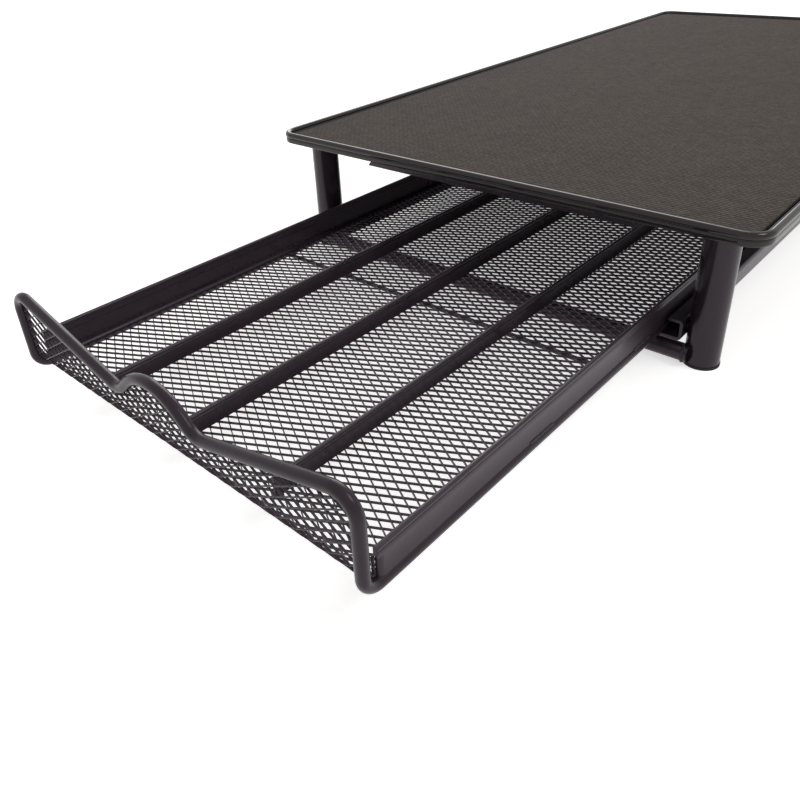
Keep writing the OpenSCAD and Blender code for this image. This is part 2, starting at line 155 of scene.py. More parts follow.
cameraPlace = {
    "place": (164.4, -356.5, 147.6),  # mm
    "up": (-0.299, 0.397, 0.868),
    "forward": (-0.6043, 0.6251, -0.494),
    "lens": 33.96,
    "sensor": 36,
    "shift": (0.0265, -0.0935),
    "clip": (0.01, 20),  # m
}


def makeCamera(c):
    data = bpy.data.cameras.new("camera")
    camera = bpy.data.objects.new("camera", data)
    bpy.context.scene.collection.objects.link(camera)
    back = -Vector(c["forward"]).normalized()
    right = Vector(c["up"]).cross(back).normalized()
    turn = Matrix((right, back.cross(right), back)).transposed().to_4x4()
    camera.matrix_world = Matrix.Translation(Vector(c["place"]) * mm) @ turn
    data.sensor_width = c["sensor"]
    data.lens = c["lens"]
    data.shift_x, data.shift_y = c["shift"]
    data.clip_start, data.clip_end = c["clip"]
    bpy.context.scene.camera = camera


makeCamera(cameraPlace)
print("camera placed")


# finishes

# Sizes in mm. A powder coat's grain is about 0.1 mm, and is drawn coarser so that it shows
coatLook = {
    "colour": "#241b21", "dust": "#372e35", "rough": 0.29, "roughSpread": 0.06,
    "peel": 1.4, "peelHeight": 0.03, "grain": 0.42, "grainHeight": 0.016, "patch": 14,
    "gloss": 0.36, "glint": "#fff0ff",
}


def powderCoat(name, look):  # a coat of paint or powder, with orange peel over a fine grain
    material, tree = newMaterial(name)
    place = addNode(tree, "ShaderNodeTexCoord").outputs["Object"]
    noise = {}
    for part, detail, broken in (("peel", 1.0, 0.4), ("grain", 2.0, 0.6), ("patch", 3.0, 0.6)):
        noise[part] = addNode(tree, "ShaderNodeTexNoise", {"Vector": place,
            "Scale": 1 / (look[part] * mm), "Detail": detail, "Roughness": broken}).outputs["Fac"]
    low = addNode(tree, "ShaderNodeBump", {"Height": noise["peel"], "Strength": 1.0,
        "Distance": look["peelHeight"] * mm})
    fine = addNode(tree, "ShaderNodeBump", {"Height": noise["grain"], "Strength": 1.0,
        "Distance": look["grainHeight"] * mm, "Normal": low.outputs["Normal"]})
    colour = addNode(tree, "ShaderNodeMix", {"Factor": noise["patch"],
        "A": linear(look["colour"]), "B": linear(look["dust"])}, data_type="RGBA")
    rough = addNode(tree, "ShaderNodeMapRange", {"Value": noise["patch"],
        "To Min": look["rough"] - look["roughSpread"],
        "To Max": look["rough"] + look["roughSpread"]})
    shader = addNode(tree, "ShaderNodeBsdfPrincipled", {"Base Color": colour.outputs["Result"],
        "Roughness": rough.outputs["Result"], "IOR": 1.5, "Normal": fine.outputs["Normal"],
        "Specular IOR Level": look["gloss"], "Specular Tint": linear(look["glint"])})
    addNode(tree, "ShaderNodeOutputMaterial", {"Surface": shader.outputs["BSDF"]})
    return material


# Epoxy powder coat on steel, baked: satin, warm black, edges catch a soft light
satinCoat = powderCoat("satin_black_powder_coat", coatLook)
# Gloss powder on the pressed tray, baked flat: black, with sharp reflections along the rim
glossCoat = powderCoat("gloss_black_powder_coat", dict(coatLook, colour="#110e0f",
    dust="#1a1617", rough=0.08, roughSpread=0.02, peelHeight=0.01, grainHeight=0.001,
    glint="#fffaf8"))
# The same powder on the tubes of the legs, with more orange peel: softer stripes of light
tubeCoat = powderCoat("gloss_black_tube_coat", dict(coatLook, colour="#1c161b",
    dust="#282127", rough=0.2, roughSpread=0.03, peelHeight=0.016, grainHeight=0.002))
# The same powder on the round wire, with a darker colour and less shine all over: painted shade,
# so that the wire looks blacker
wireCoat = powderCoat("satin_black_wire_coat", dict(coatLook, colour="#1f171d",
    dust="#30282e", rough=0.26, gloss=0.26))
# Powder on the thin strands of the mesh: drawn thin over the edges, a little rougher
meshCoat = powderCoat("satin_black_mesh_coat", dict(coatLook, rough=0.4, peelHeight=0.0,
    grainHeight=0.005))
# Weld metal under the powder: lumpy, with a darker colour than the coat, which is painted shade
# among the lumps
weldCoat = powderCoat("powder_coated_weld", dict(coatLook, colour="#1c171b",
    dust="#2b2429", rough=0.26, peel=0.8, peelHeight=0.04))
# Moulded rubber: matt, with a slight bloom
rubber = powderCoat("moulded_black_rubber", dict(coatLook, colour="#131212",
    dust="#201f1f", rough=0.7, peelHeight=0.0, grain=0.4, grainHeight=0.02, patch=6))
# Case-hardened screw, black oxide: blue-black and oily
screwOxide = powderCoat("black_oxide_screw", dict(coatLook, colour="#17181a",
    dust="#222225", rough=0.28, peelHeight=0.0, grainHeight=0.004, patch=2))

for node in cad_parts:
    dress(node, satinCoat)
for corner in ("front_left", "front_right", "rear_left", "rear_right"):
    dress("foot_cap_" + corner, rubber)
    dress("leg_" + corner, tubeCoat)
print("finishes made")


# the drawer's bent wire

wireLow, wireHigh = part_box("drawer_wire")
wireLook = {
    "radius": 1.85, "sides": 28, "arcStep": 7, "straightStep": 12,
    "earRise": 29.5, "dipRise": 14.6, "dipX": 18.6, "gripAngle": 41,
    "rearBend": 4, "footBend": 5, "earBend": 6, "dipBend": 7, "gripBend": 20,
}
wireX = wireHigh.x / mm - wireLook["radius"]
wireY = wireLow.y / mm + wireLook["radius"]
wireRearY = wireHigh.y / mm - wireLook["radius"]
wireZ = wireLow.z / mm + wireLook["radius"]
gripSlope = math.tan(math.radians(wireLook["gripAngle"]))
apexZ = wireZ + wireLook["dipRise"] + wireLook["dipX"] * gripSlope


def roundedPath(corners, bends, arcStep):  # a closed path with an arc at each corner
    path = []
    for i, corner in enumerate(corners):
        before = (corners[i - 1] - corner).normalized()
        after = (corners[(i + 1) % len(corners)] - corner).normalized()
        half = before.angle(after) / 2
        centre = corner + (before + after).normalized() * (bends[i] / math.sin(half))
        start = corner + before * (bends[i] / math.tan(half)) - centre
        axis = after.cross(before).normalized()
        turn = math.pi - 2 * half
        steps = max(3, round(math.degrees(turn) / arcStep))
        path += [centre + Matrix.Rotation(turn * k / steps, 3, axis) @ start
            for k in range(steps + 1)]
    return path


def pipeTree():  # a round bar along the lines of a path
    tree, given = startTree("bent_bar", (("Path", "Geometry"), ("Radius", "Float"),
        ("Sides", "Int"), ("Finish", "Material")))
    line = addNode(tree, "GeometryNodeMeshToCurve", {"Mesh": given["Path"]})
    ring = addNode(tree, "GeometryNodeCurvePrimitiveCircle",
        {"Resolution": given["Sides"], "Radius": given["Radius"]})
    bar = addNode(tree, "GeometryNodeCurveToMesh", {"Curve": line.outputs["Curve"],
        "Profile Curve": ring.outputs["Curve"], "Fill Caps": True})
    return endTree(tree, bar.outputs["Mesh"], given["Finish"])


def makeDrawerWire(w):
    half = [(wireX, wireRearY, wireZ), (wireX, wireY, wireZ), (wireX, wireY, wireZ + w["earRise"]),
        (w["dipX"], wireY, wireZ + w["dipRise"])]
    corners = [Vector(p) for p in half] + [Vector((0, wireY, apexZ))]
    corners += [Vector((-x, y, z)) for x, y, z in half[::-1]]
    bends = [w["rearBend"], w["footBend"], w["earBend"], w["dipBend"]]
    path = roundedPath(corners, bends + [w["gripBend"]] + bends[::-1], w["arcStep"])
    fine = []
    for a, b in zip(path, path[1:] + path[:1]):
        steps = max(1, round((b - a).length / w["straightStep"]))
        fine += [a.lerp(b, k / steps) for k in range(steps)]
    links = [(i, (i + 1) % len(fine)) for i in range(len(fine))]
    wire = meshObject("bent_drawer_wire", [p * mm for p in fine], [], edges=links)
    bakeTree(wire, pipeTree(),
        {"Radius": w["radius"] * mm, "Sides": w["sides"], "Finish": wireCoat})
    return tidyMesh(wire)


finishPiece(makeDrawerWire(wireLook), "drawer", "satin_black_steel", "drawer_wire")
print("drawer wire bent")


# expanded metal of the drawer

meshLook = {
    "longWay": 5.9, "shortWay": 3.3, "strand": 0.33, "bond": 0.2, "thick": 0.64, "raise": 0.06,
    "foldRadius": 7.2, "floorUp": 0.5, "edgeX": 76.6, "rearCorner": 2.15, "rearOver": 0.3,
    "cornerSteps": 6, "topSteps": 120, "merge": 0.02, "cutDeep": 2, "sharp": 32,
}
foldStartY = wireY + meshLook["foldRadius"]
foldLength = meshLook["foldRadius"] * math.pi / 2
floorMidZ = wireZ + meshLook["floorUp"]


def wireMiddle(x):  # height of the front wire's middle line at x
    w, a = wireLook, abs(x)
    slope = math.atan((w["earRise"] - w["dipRise"]) / (wireX - w["dipX"]))
    grip = math.radians(w["gripAngle"])
    earX = wireX - w["earBend"]
    earZ = wireZ + w["earRise"] - w["earBend"] * math.tan((math.pi / 2 + slope) / 2)
    spread = 1 / math.cos(grip) - 1 / math.cos(slope)
    dipX = w["dipX"] + w["dipBend"] * spread / (math.tan(slope) + math.tan(grip))
    dipZ = wireZ + w["dipRise"] + (dipX - w["dipX"]) * math.tan(slope)
    dipZ += w["dipBend"] / math.cos(slope)
    if a > earX - w["earBend"] * math.sin(slope):
        return earZ + math.sqrt(max(0, w["earBend"] ** 2 - (a - earX) ** 2))
    if a > dipX + w["dipBend"] * math.sin(slope):
        return wireZ + w["dipRise"] + (a - w["dipX"]) * math.tan(slope)
    if a > dipX - w["dipBend"] * math.sin(grip):
        return dipZ - math.sqrt(w["dipBend"] ** 2 - (a - dipX) ** 2)
    if a > w["gripBend"] * math.sin(grip):
        return apexZ - a * math.tan(grip)
    return apexZ - w["gripBend"] / math.cos(grip) + math.sqrt(w["gripBend"] ** 2 - a * a)


def meshCell(m, rich):  # one opening with half of each strand round it, strands tilted
    long, short = m["longWay"], m["shortWay"]
    k = 1 - m["strand"] * math.hypot(long, short) / (long * short)
    a, b, e = long / 2 * k, short / 2 * k, m["bond"]
    outer = [(-long / 2, 0), (0, short / 2), (long / 2, 0), (0, -short / 2)]
    inner = [(-a, 0), (0, b), (a, 0), (0, -b)]
    match = [0, 1, 2, 3]  # the outer corner that each inner one meets
    if rich:  # with the flat bond between two strands
        inner = [(-a, 0), (-e, b), (e, b), (a, 0), (e, -b), (-e, -b)]
        match = [0, 1, 1, 2, 3, 3]
    verts, faces = [], []
    for level in (1, -1):
        z = m["thick"] / 2 * level
        verts += [(x * mm, y * mm, (z + m["raise"] * y / b) * mm) for x, y in inner]
        verts += [(x * mm, y * mm, z * mm) for x, y in outer]
    n, step = len(inner), len(inner) + 4
    for level in (0, 1):
        base = level * step
        for i in range(n):
            j = (i + 1) % n
            ring = [base + i, base + j, base + n + match[j]]
            if match[i] != match[j]:
                ring.append(base + n + match[i])
            faces.append(ring if level else ring[::-1])
    for i in range(n):
        j = (i + 1) % n
        faces.append((i, j, step + j, step + i))
    return meshObject("mesh_cell", verts, faces)


def latticeTree():  # rows of one cell over a panel, then more rows in their gaps
    tree, given = startTree("expanded_metal", (("Cell", "Object"), ("Long Way", "Float"),
        ("Short Way", "Float"), ("Across", "Int"), ("Along", "Int"), ("Merge", "Float"),
        ("Finish", "Material")))
    cell = addNode(tree, "GeometryNodeObjectInfo", {"Object": given["Cell"]})
    joined = addNode(tree, "GeometryNodeJoinGeometry")
    for more in (1, 0):
        grid = addNode(tree, "GeometryNodeMeshGrid")
        for axis, number, step in (("X", "Across", "Long Way"), ("Y", "Along", "Short Way")):
            count = addNode(tree, "ShaderNodeMath", {0: given[number], 1: more}, operation="ADD")
            gaps = addNode(tree, "ShaderNodeMath", {0: count.outputs[0], 1: -1.0},
                operation="ADD")
            size = addNode(tree, "ShaderNodeMath", {0: gaps.outputs[0], 1: given[step]},
                operation="MULTIPLY")
            tree.links.new(count.outputs[0], grid.inputs["Vertices " + axis])
            tree.links.new(size.outputs[0], grid.inputs["Size " + axis])
        rows = addNode(tree, "GeometryNodeInstanceOnPoints",
            {"Points": grid.outputs["Mesh"], "Instance": cell.outputs["Geometry"]})
        tree.links.new(rows.outputs["Instances"], joined.inputs["Geometry"])
    real = addNode(tree, "GeometryNodeRealizeInstances", {"Geometry": joined.outputs["Geometry"]})
    merged = addNode(tree, "GeometryNodeMergeByDistance",
        {"Geometry": real.outputs["Geometry"], "Distance": given["Merge"]})
    return endTree(tree, merged.outputs["Geometry"], given["Finish"])


def closeRim(thing):  # walls along the open outer edge of the flat sheet
    work = bmesh.new()
    work.from_mesh(thing.data)
    work.verts.ensure_lookup_table()
    corner = {}
    for vert in work.verts:
        if vert.is_boundary:
            place = round(vert.co.x / mm, 2), round(vert.co.y / mm, 2)
            corner.setdefault(place, {})[vert.co.z > 0] = vert
    for edge in [e for e in work.edges if e.is_boundary and e.verts[0].co.z > 0]:
        a, b = edge.verts
        under = [corner[round(v.co.x / mm, 2), round(v.co.y / mm, 2)][False] for v in (a, b)]
        work.faces.new((a, b, under[1], under[0]))
    bmesh.ops.recalc_face_normals(work, faces=work.faces)
    work.to_mesh(thing.data)
    work.free()


def cutTo(thing, outline, thick):  # keeps what lies inside an outline, given in the flat sheet
    count = len(outline)
    verts = [(x * mm, y * mm, z * mm) for z in (-thick, thick) for x, y in outline]
    faces = [tuple(range(count))[::-1], tuple(range(count, 2 * count))]
    faces += [(i, (i + 1) % count, count + (i + 1) % count, count + i) for i in range(count)]
    cutWith(thing, tidyMesh(meshObject("cutter", verts, faces)), "INTERSECT")


def foldSheet(thing, m):  # the flat sheet runs along Y from the floor (negative) up the front
    r = m["foldRadius"]
    for vert in thing.data.vertices:
        x, s, h = vert.co / mm
        if s <= 0:
            y, z = foldStartY - s, floorMidZ + h
        elif s < foldLength:
            y = foldStartY - (r - h) * math.sin(s / r)
            z = floorMidZ + r - (r - h) * math.cos(s / r)
        else:
            y, z = wireY + h, floorMidZ + r + s - foldLength
        vert.co = Vector((x, y, z)) * mm


def makeExpandedMetal(m):
    tree = latticeTree()
    across = 2 * math.ceil(m["edgeX"] / m["longWay"])
    frontRows = math.ceil((foldLength + wireLook["earRise"]) / m["shortWay"]) + 1
    floorRows = math.ceil((wireRearY - foldStartY) / m["shortWay"]) + 1
    topAt = floorMidZ + m["foldRadius"] - foldLength
    top = [m["edgeX"] * (1 - 2 * i / m["topSteps"]) for i in range(m["topSteps"] + 1)]
    top = [(x, wireMiddle(x) - topAt) for x in top]
    frontShape = [(-m["edgeX"], 0), (m["edgeX"], 0)] + top
    c, rear = m["rearCorner"], -(wireRearY - wireLook["radius"] - foldStartY) - m["rearOver"]
    turns = [math.pi / 2 * k / m["cornerSteps"] for k in range(m["cornerSteps"] + 1)]
    bend = [(m["edgeX"] - c + c * math.sin(t), rear + c - c * math.cos(t)) for t in turns]
    floorShape = [(m["edgeX"], 0), (-m["edgeX"], 0)] + [(-x, y) for x, y in bend[::-1]] + bend
    for name, node, rows, shape, up in (
            ("expanded_front", "front_mesh", frontRows, frontShape, 1),
            ("expanded_floor", "floor_mesh", floorRows, floorShape, -1)):
        cell = meshCell(m, up == 1)
        sheet = meshObject(name, [], [])
        bakeTree(sheet, tree, {"Cell": cell, "Long Way": m["longWay"] * mm,
            "Short Way": m["shortWay"] * mm, "Across": across, "Along": rows,
            "Merge": m["merge"] * mm, "Finish": meshCoat})
        middle = rows * m["shortWay"] / 2 * up
        sheet.data.transform(Matrix.Translation((0, middle * mm, 0)))
        bpy.data.objects.remove(cell)
        closeRim(sheet)
        cutTo(sheet, shape, m["cutDeep"])
        foldSheet(sheet, m)
        tidyMesh(sheet, sharp=m["sharp"])
        finishPiece(sheet, "drawer", "satin_black_steel", node)


makeExpandedMetal(meshLook)
print("expanded metal folded")


# hemmed strips of the drawer

stripLook = {
    "outX": 79.0, "frontY": -272.8, "rearY": 107.45, "footZ": 13.83, "rearHalf": 77.3,
    "high": 9.7, "sheet": 0.8, "hem": 3.2, "hemSteps": 10, "lip": 0.12, "sharp": 38,
    "foot": ((0, 0), (0.01, 0.06), (0.14, 0.3)),  # depth, height
    "seam": ((0.14, 1.75), (0.22, 1.6), (0.36, 1.48), (0.34, 1.38), (0.12, 1.2)),  # depth, drop
    "curl": 2.0, "curlAngle": 72, "curlSteps": 9,
    "dividerX": (-39.3, 0, 39.3), "dividerZ": 13.0, "dividerHigh": 6.5,
    "dividerFrontY": -269.65, "dividerRearY": 104.4,
}


def hemSection(s, high, hem):  # outline in (depth behind the outer face, height), from the foot up
    t, lip = s["sheet"], s["lip"]
    section = list(s["foot"]) + [(s["foot"][-1][0], high - hem)]
    section += [(depth, high - drop) for depth, drop in s["seam"]]
    turns = [math.pi * k / s["hemSteps"] for k in range(s["hemSteps"] + 1)]
    section += [(t - t * math.cos(a), high - t + t * math.sin(a)) for a in turns]
    section += [(2 * t, high - hem + lip), (2 * t - lip, high - hem), (t, high - hem), (t, 0)]
    return section, len(s["foot"]), len(section) - 2


def joinRings(rings, capStart, capEnd):  # skin over rings of equal length
    count = len(rings[0])
    verts = [p * mm for ring in rings for p in ring]
    faces = []
    for i in range(len(rings) - 1):
        low, high = i * count, (i + 1) * count
        faces += [(low + k, low + (k + 1) % count, high + (k + 1) % count, high + k)
            for k in range(count)]
    if capStart:
        faces.append(tuple(range(count)))
    if capEnd:
        faces.append(tuple(range((len(rings) - 1) * count, len(rings) * count)))
    return verts, faces


def mergeSkins(name, skins, finish, sharp):
    verts, faces = [], []
    for v, f in skins:
        faces += [tuple(i + len(verts) for i in face) for face in f]
        verts += v
    return tidyMesh(meshObject(name, verts, faces, finish), sharp=sharp)


def makeStrips(s):
    def strip(name, skins, *nodes):
        piece = mergeSkins(name, skins, satinCoat, s["sharp"])
        finishPiece(piece, "drawer", "satin_black_steel", *nodes)

    section, a, b = hemSection(s, s["high"], s["hem"])
    below = section[:a + 1] + section[b:]
    bendY = s["frontY"] + s["curl"]
    for side, name in ((1, "right"), (-1, "left")):
        def at(points, x, y, outX, outY):  # a section at a place, seen from its outer side
            return [Vector((side * (x - u * outX), y - u * outY, s["footZ"] + z))
                for u, z in points]

        long = [at(section, s["outX"], y, 1, 0) for y in (s["rearY"], bendY)]
        hem = [at(section[a:b + 1], s["outX"], y, 1, 0) for y in (bendY, s["frontY"])]
        curl = []
        for k in range(s["curlSteps"] + 1):
            t = math.radians(s["curlAngle"]) * k / s["curlSteps"]
            curl.append(at(below, s["outX"] - s["curl"] * (1 - math.cos(t)),
                bendY - s["curl"] * math.sin(t), math.cos(t), -math.sin(t)))
        strip("hemmed_side_strip_" + name, [joinRings(long, True, False),
            joinRings(hem, False, True), joinRings(curl, False, True)], "side_strip_" + name)
    rear = [[Vector((x, s["rearY"] - u, s["footZ"] + z)) for u, z in section]
        for x in (-s["rearHalf"], s["rearHalf"])]
    strip("hemmed_rear_strip", [joinRings(rear, True, True)], "rear_strip")
    section = hemSection(s, s["dividerHigh"], 2 * s["sheet"])[0]
    dividers = []
    for x in s["dividerX"]:
        ends = [[Vector((x + s["sheet"] / 2 - u, y, s["dividerZ"] + z)) for u, z in section]
            for y in (s["dividerFrontY"], s["dividerRearY"])]
        dividers.append(joinRings(ends, True, True))
    strip("hemmed_lane_dividers", dividers, "divider_left", "divider_middle", "divider_right")


makeStrips(stripLook)
print("strips folded")


# tray

trayLow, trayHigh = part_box("top_tray")
trayLook = {
    "corner": 6.55, "rimRadius": 2.45, "sheetTop": -0.55, "sheetUnder": -1.35, "flatTo": -6.0,
    "arcSteps": 10, "fillet": 1.2, "filletSteps": 6, "nose": 1.4, "noseAt": (0.75, 0.8),
    "noseEnd": -48, "noseSteps": 20, "sharp": 50,
    "skirt": ((0.3, -0.42), (0.24, -0.9), (0.2, -1.5), (0.24, -2.1), (0.34, -2.36),
        (0.52, -2.44), (0.74, -2.36), (0.88, -2.1), (0.92, -1.35)),  # in from the nose, height
}
pathX = trayHigh.x / mm - trayLook["rimRadius"]
pathFrontY = trayLow.y / mm + trayLook["rimRadius"]
pathRearY = trayHigh.y / mm - trayLook["rimRadius"]
rimZ = trayHigh.z / mm - trayLook["rimRadius"]


def frameRing(out, z, corner, steps):  # a rounded rectangle, moved out from the rim's path
    ring = []
    for k, (sx, y) in enumerate(((1, pathRearY - corner), (-1, pathRearY - corner),
            (-1, pathFrontY + corner), (1, pathFrontY + corner))):
        for i in range(steps + 1):
            t = math.radians(90 * (k + i / steps))
            ring.append(Vector((sx * (pathX - corner) + (corner + out) * math.cos(t),
                y + (corner + out) * math.sin(t), z)))
    return ring


def arcPoints(middle, radius, start, end, steps):  # an arc in a flat profile, in degrees
    turns = [math.radians(start + (end - start) * k / steps) for k in range(steps + 1)]
    return [(middle[0] + radius * math.cos(t), middle[1] + radius * math.sin(t)) for t in turns]


def makeTray(t):
    wall = t["noseAt"][0] - t["nose"]
    outer = t["noseAt"][0] + t["nose"]
    profile = [(t["flatTo"], t["sheetTop"])]
    profile += arcPoints((wall - t["fillet"], t["sheetTop"] + t["fillet"]), t["fillet"],
        -90, 0, t["filletSteps"])
    profile += arcPoints(t["noseAt"], t["nose"], 180, t["noseEnd"], t["noseSteps"])
    profile += [(outer - inset, z) for inset, z in t["skirt"]]
    profile.append((t["flatTo"], t["sheetUnder"]))
    rings = [frameRing(u, rimZ + z, t["corner"], t["arcSteps"]) for u, z in profile]
    skins = [joinRings(rings, True, True)]
    tray = mergeSkins("rolled_rim_tray", skins, glossCoat, t["sharp"])
    finishPiece(tray, "stand", "gloss_black_steel", "top_tray", "rim_wire")


makeTray(trayLook)
print("tray pressed")


# mat

matLook = {
    "corner": 2.6, "edge": 0.3, "edgeSoft": 0.3, "rowStep": 0.375, "columns": 52, "sharp": 50,
    "rib": 1.5, "ribHigh": 0.08, "wander": 0.8, "wanderWide": 9,
    "dash": 2.7, "dashHigh": 0.12, "stray": 1.5, "strayWide": 2.2,
    "round": 0.8, "endRound": 0.4, "endSharp": 4.0,
    # the valley colour is painted shade in the hollows between the dashes
    "colour": "#605853", "valleyShade": "#1d1a17", "mottle": 0.3, "patch": 20, "patchShade": 0.25,
    "shade": 0.85, "grain": 0.35, "grainHeight": 0.03, "rough": 0.85, "gloss": 0.06,
}


def matFinish(m):
    # Foamed PVC mat, calendered over a woven net: matt warm grey, staggered dashes, and painted
    # shade darkening the valleys between them. The net's cells are about 1.2 mm, and are drawn as
    # coarse as they need to show
    material, tree = newMaterial("calendered_pvc_mat")
    place = addNode(tree, "ShaderNodeTexCoord").outputs["Object"]
    axes = addNode(tree, "ShaderNodeSeparateXYZ", {0: place}).outputs
    parts = {"X": axes["X"], "Y": axes["Y"]}
    for name, detail in (("wanderWide", 1.0), ("strayWide", 1.0), ("grain", 2.0), ("patch", 2.0)):
        parts[name] = addNode(tree, "ShaderNodeTexNoise",
            {"Vector": place, "Scale": 1 / (m[name] * mm), "Detail": detail}).outputs["Fac"]
    net = (  # a name, what is done, and to what
        ("shift", "MULTIPLY", "wanderWide", 2 * m["wander"] * mm),
        ("moved", "ADD", "Y", "shift"),
        ("row", "DIVIDE", "moved", m["rib"] * mm),
        ("rowNumber", "FLOOR", "row"),
        ("stagger", "MULTIPLY", "rowNumber", 0.5),
        ("start", "MULTIPLY_ADD", "strayWide", m["stray"], "stagger"),
        ("along", "MULTIPLY_ADD", "X", 1 / (m["dash"] * mm), "start"),
        ("dashNumber", "FLOOR", "along"),
        ("inRow", "FRACT", "row"),
        ("inDash", "FRACT", "along"),
        ("across", "MULTIPLY_ADD", "inRow", 2.0, -1.0),
        ("lengthwise", "MULTIPLY_ADD", "inDash", 2.0, -1.0),
        ("far", "ABSOLUTE", "lengthwise"),
        ("farther", "POWER", "far", m["endSharp"]),
        ("ends", "MULTIPLY", "farther", m["endRound"]),
        ("square", "MULTIPLY", "across", "across"),
        ("fall", "MULTIPLY_ADD", "square", m["round"], "ends"),
        ("left", "SUBTRACT", 1.0, "fall"),
        ("high", "MAXIMUM", "left", 0.0),
        ("shade", "MULTIPLY_ADD", "patch", m["patchShade"], m["shade"]),
        ("plain", "MULTIPLY", "high", "shade"),
    )
    for name, kind, *fed in net:
        parts[name] = addNode(tree, "ShaderNodeMath",
            {i: parts.get(value, value) for i, value in enumerate(fed)}, operation=kind).outputs[0]
    cell = addNode(tree, "ShaderNodeCombineXYZ",
        {"X": parts["dashNumber"], "Y": parts["rowNumber"]})
    chance = addNode(tree, "ShaderNodeTexWhiteNoise", {"Vector": cell.outputs[0]},
        noise_dimensions="2D")
    mottle = addNode(tree, "ShaderNodeMath", {0: chance.outputs["Value"], 1: m["mottle"],
        2: 1 - m["mottle"] / 2}, operation="MULTIPLY_ADD")
    mixed = addNode(tree, "ShaderNodeMath", {0: parts["plain"], 1: mottle.outputs[0]},
        operation="MULTIPLY")
    relief = addNode(tree, "ShaderNodeBump", {"Height": parts["high"], "Strength": 1.0,
        "Distance": m["dashHigh"] * mm})
    fine = addNode(tree, "ShaderNodeBump", {"Height": parts["grain"], "Strength": 1.0,
        "Distance": m["grainHeight"] * mm, "Normal": relief.outputs["Normal"]})
    # painted shade: the colour runs from the dark valley colour up to the mat's grey with the
    # height of the dashes
    colour = addNode(tree, "ShaderNodeMix", {"Factor": mixed.outputs[0],
        "A": linear(m["valleyShade"]), "B": linear(m["colour"])}, data_type="RGBA")
    shader = addNode(tree, "ShaderNodeBsdfPrincipled", {"Base Color": colour.outputs["Result"],
        "Roughness": m["rough"], "IOR": 1.5, "Normal": fine.outputs["Normal"],
        "Specular IOR Level": m["gloss"]})
    addNode(tree, "ShaderNodeOutputMaterial", {"Surface": shader.outputs["BSDF"]})
    return material


def ribTree():  # sinks the points of the top between wandering ribs along X
    tree, given = startTree("mat_ribs", (("Mat", "Geometry"), ("Rib", "Float"), ("High", "Float"),
        ("Wander", "Float"), ("Wander Wide", "Float"), ("Top", "Float"), ("Finish", "Material")))
    place = addNode(tree, "GeometryNodeInputPosition").outputs[0]
    axes = addNode(tree, "ShaderNodeSeparateXYZ", {0: place}).outputs
    scale = addNode(tree, "ShaderNodeMath", {0: 1.0, 1: given["Wander Wide"]}, operation="DIVIDE")
    wander = addNode(tree, "ShaderNodeTexNoise",
        {"Vector": place, "Scale": scale.outputs[0], "Detail": 1.0})
    parts = {name: given[name] for name in ("Rib", "High", "Wander", "Top")}
    parts.update({"Y": axes["Y"], "Z": axes["Z"], "noise": wander.outputs["Fac"]})
    ribs = (  # a name, what is done, and to what
        ("twice", "MULTIPLY", "noise", 2.0),
        ("shift", "MULTIPLY", "twice", "Wander"),
        ("moved", "ADD", "Y", "shift"),
        ("row", "DIVIDE", "moved", "Rib"),
        ("turn", "MULTIPLY", "row", math.pi),
        ("wave", "SINE", "turn"),
        ("hump", "ABSOLUTE", "wave"),
        ("below", "SUBTRACT", "hump", 1.0),
        ("sink", "MULTIPLY", "below", "High"),
        ("nearTop", "SUBTRACT", "Top", 0.01 * mm),
        ("onTop", "GREATER_THAN", "Z", "nearTop"),
        ("move", "MULTIPLY", "sink", "onTop"),
    )
    for name, kind, *fed in ribs:
        parts[name] = addNode(tree, "ShaderNodeMath",
            {i: parts.get(value, value) for i, value in enumerate(fed)}, operation=kind).outputs[0]
    move = addNode(tree, "ShaderNodeCombineXYZ", {"Z": parts["move"]})
    ribbed = addNode(tree, "GeometryNodeSetPosition",
        {"Geometry": given["Mat"], "Offset": move.outputs[0]})
    return endTree(tree, ribbed.outputs["Geometry"], given["Finish"])


def makeMat(m):
    low, high = [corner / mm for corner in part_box("top_mat")]
    halfX, halfY, midY = high.x, (high.y - low.y) / 2, (high.y + low.y) / 2
    rows, wide = round(2 * halfY / m["rowStep"]), m["columns"] + 1

    def pointAt(i, k, inset, z):  # a place on the mat by row and column, held back by inset
        y = (halfY - inset) * (2 * i / rows - 1)
        d = halfY - inset - abs(y)
        r = m["corner"] - inset
        cut = r - math.sqrt(max(0, r * r - (r - d) ** 2)) if d < r else 0
        return Vector(((halfX - inset - cut) * (2 * k / m["columns"] - 1), midY + y, z)) * mm

    edge = m["edge"]
    soft = edge * m["edgeSoft"]
    verts = [pointAt(i, k, edge, high.z) for i in range(rows + 1) for k in range(wide)]
    faces = [(i * wide + k, i * wide + k + 1, (i + 1) * wide + k + 1, (i + 1) * wide + k)
        for i in range(rows) for k in range(m["columns"])]
    loop = [(0, k) for k in range(wide)] + [(i, wide - 1) for i in range(1, rows + 1)]
    loop += [(rows, k) for k in range(wide - 2, -1, -1)] + [(i, 0) for i in range(rows - 1, 0, -1)]
    last = [i * wide + k for i, k in loop]
    for inset, z in ((soft, high.z - soft), (0, high.z - edge), (0, low.z)):
        base, count = len(verts), len(loop)
        verts += [pointAt(i, k, inset, z) for i, k in loop]
        faces += [(last[j], last[(j + 1) % count], base + (j + 1) % count, base + j)
            for j in range(count)]
        last = list(range(base, base + count))
    faces.append(tuple(last))
    mat = meshObject("ribbed_non_slip_mat", verts, faces)
    bakeTree(mat, ribTree(), {"Rib": m["rib"] * mm, "High": m["ribHigh"] * mm,
        "Wander": m["wander"] * mm, "Wander Wide": m["wanderWide"] * mm, "Top": high.z * mm,
        "Finish": matFinish(m)})
    finishPiece(tidyMesh(mat, sharp=m["sharp"]), "stand", "grey_mat", "top_mat")


makeMat(matLook)
print("mat laid")


# welds

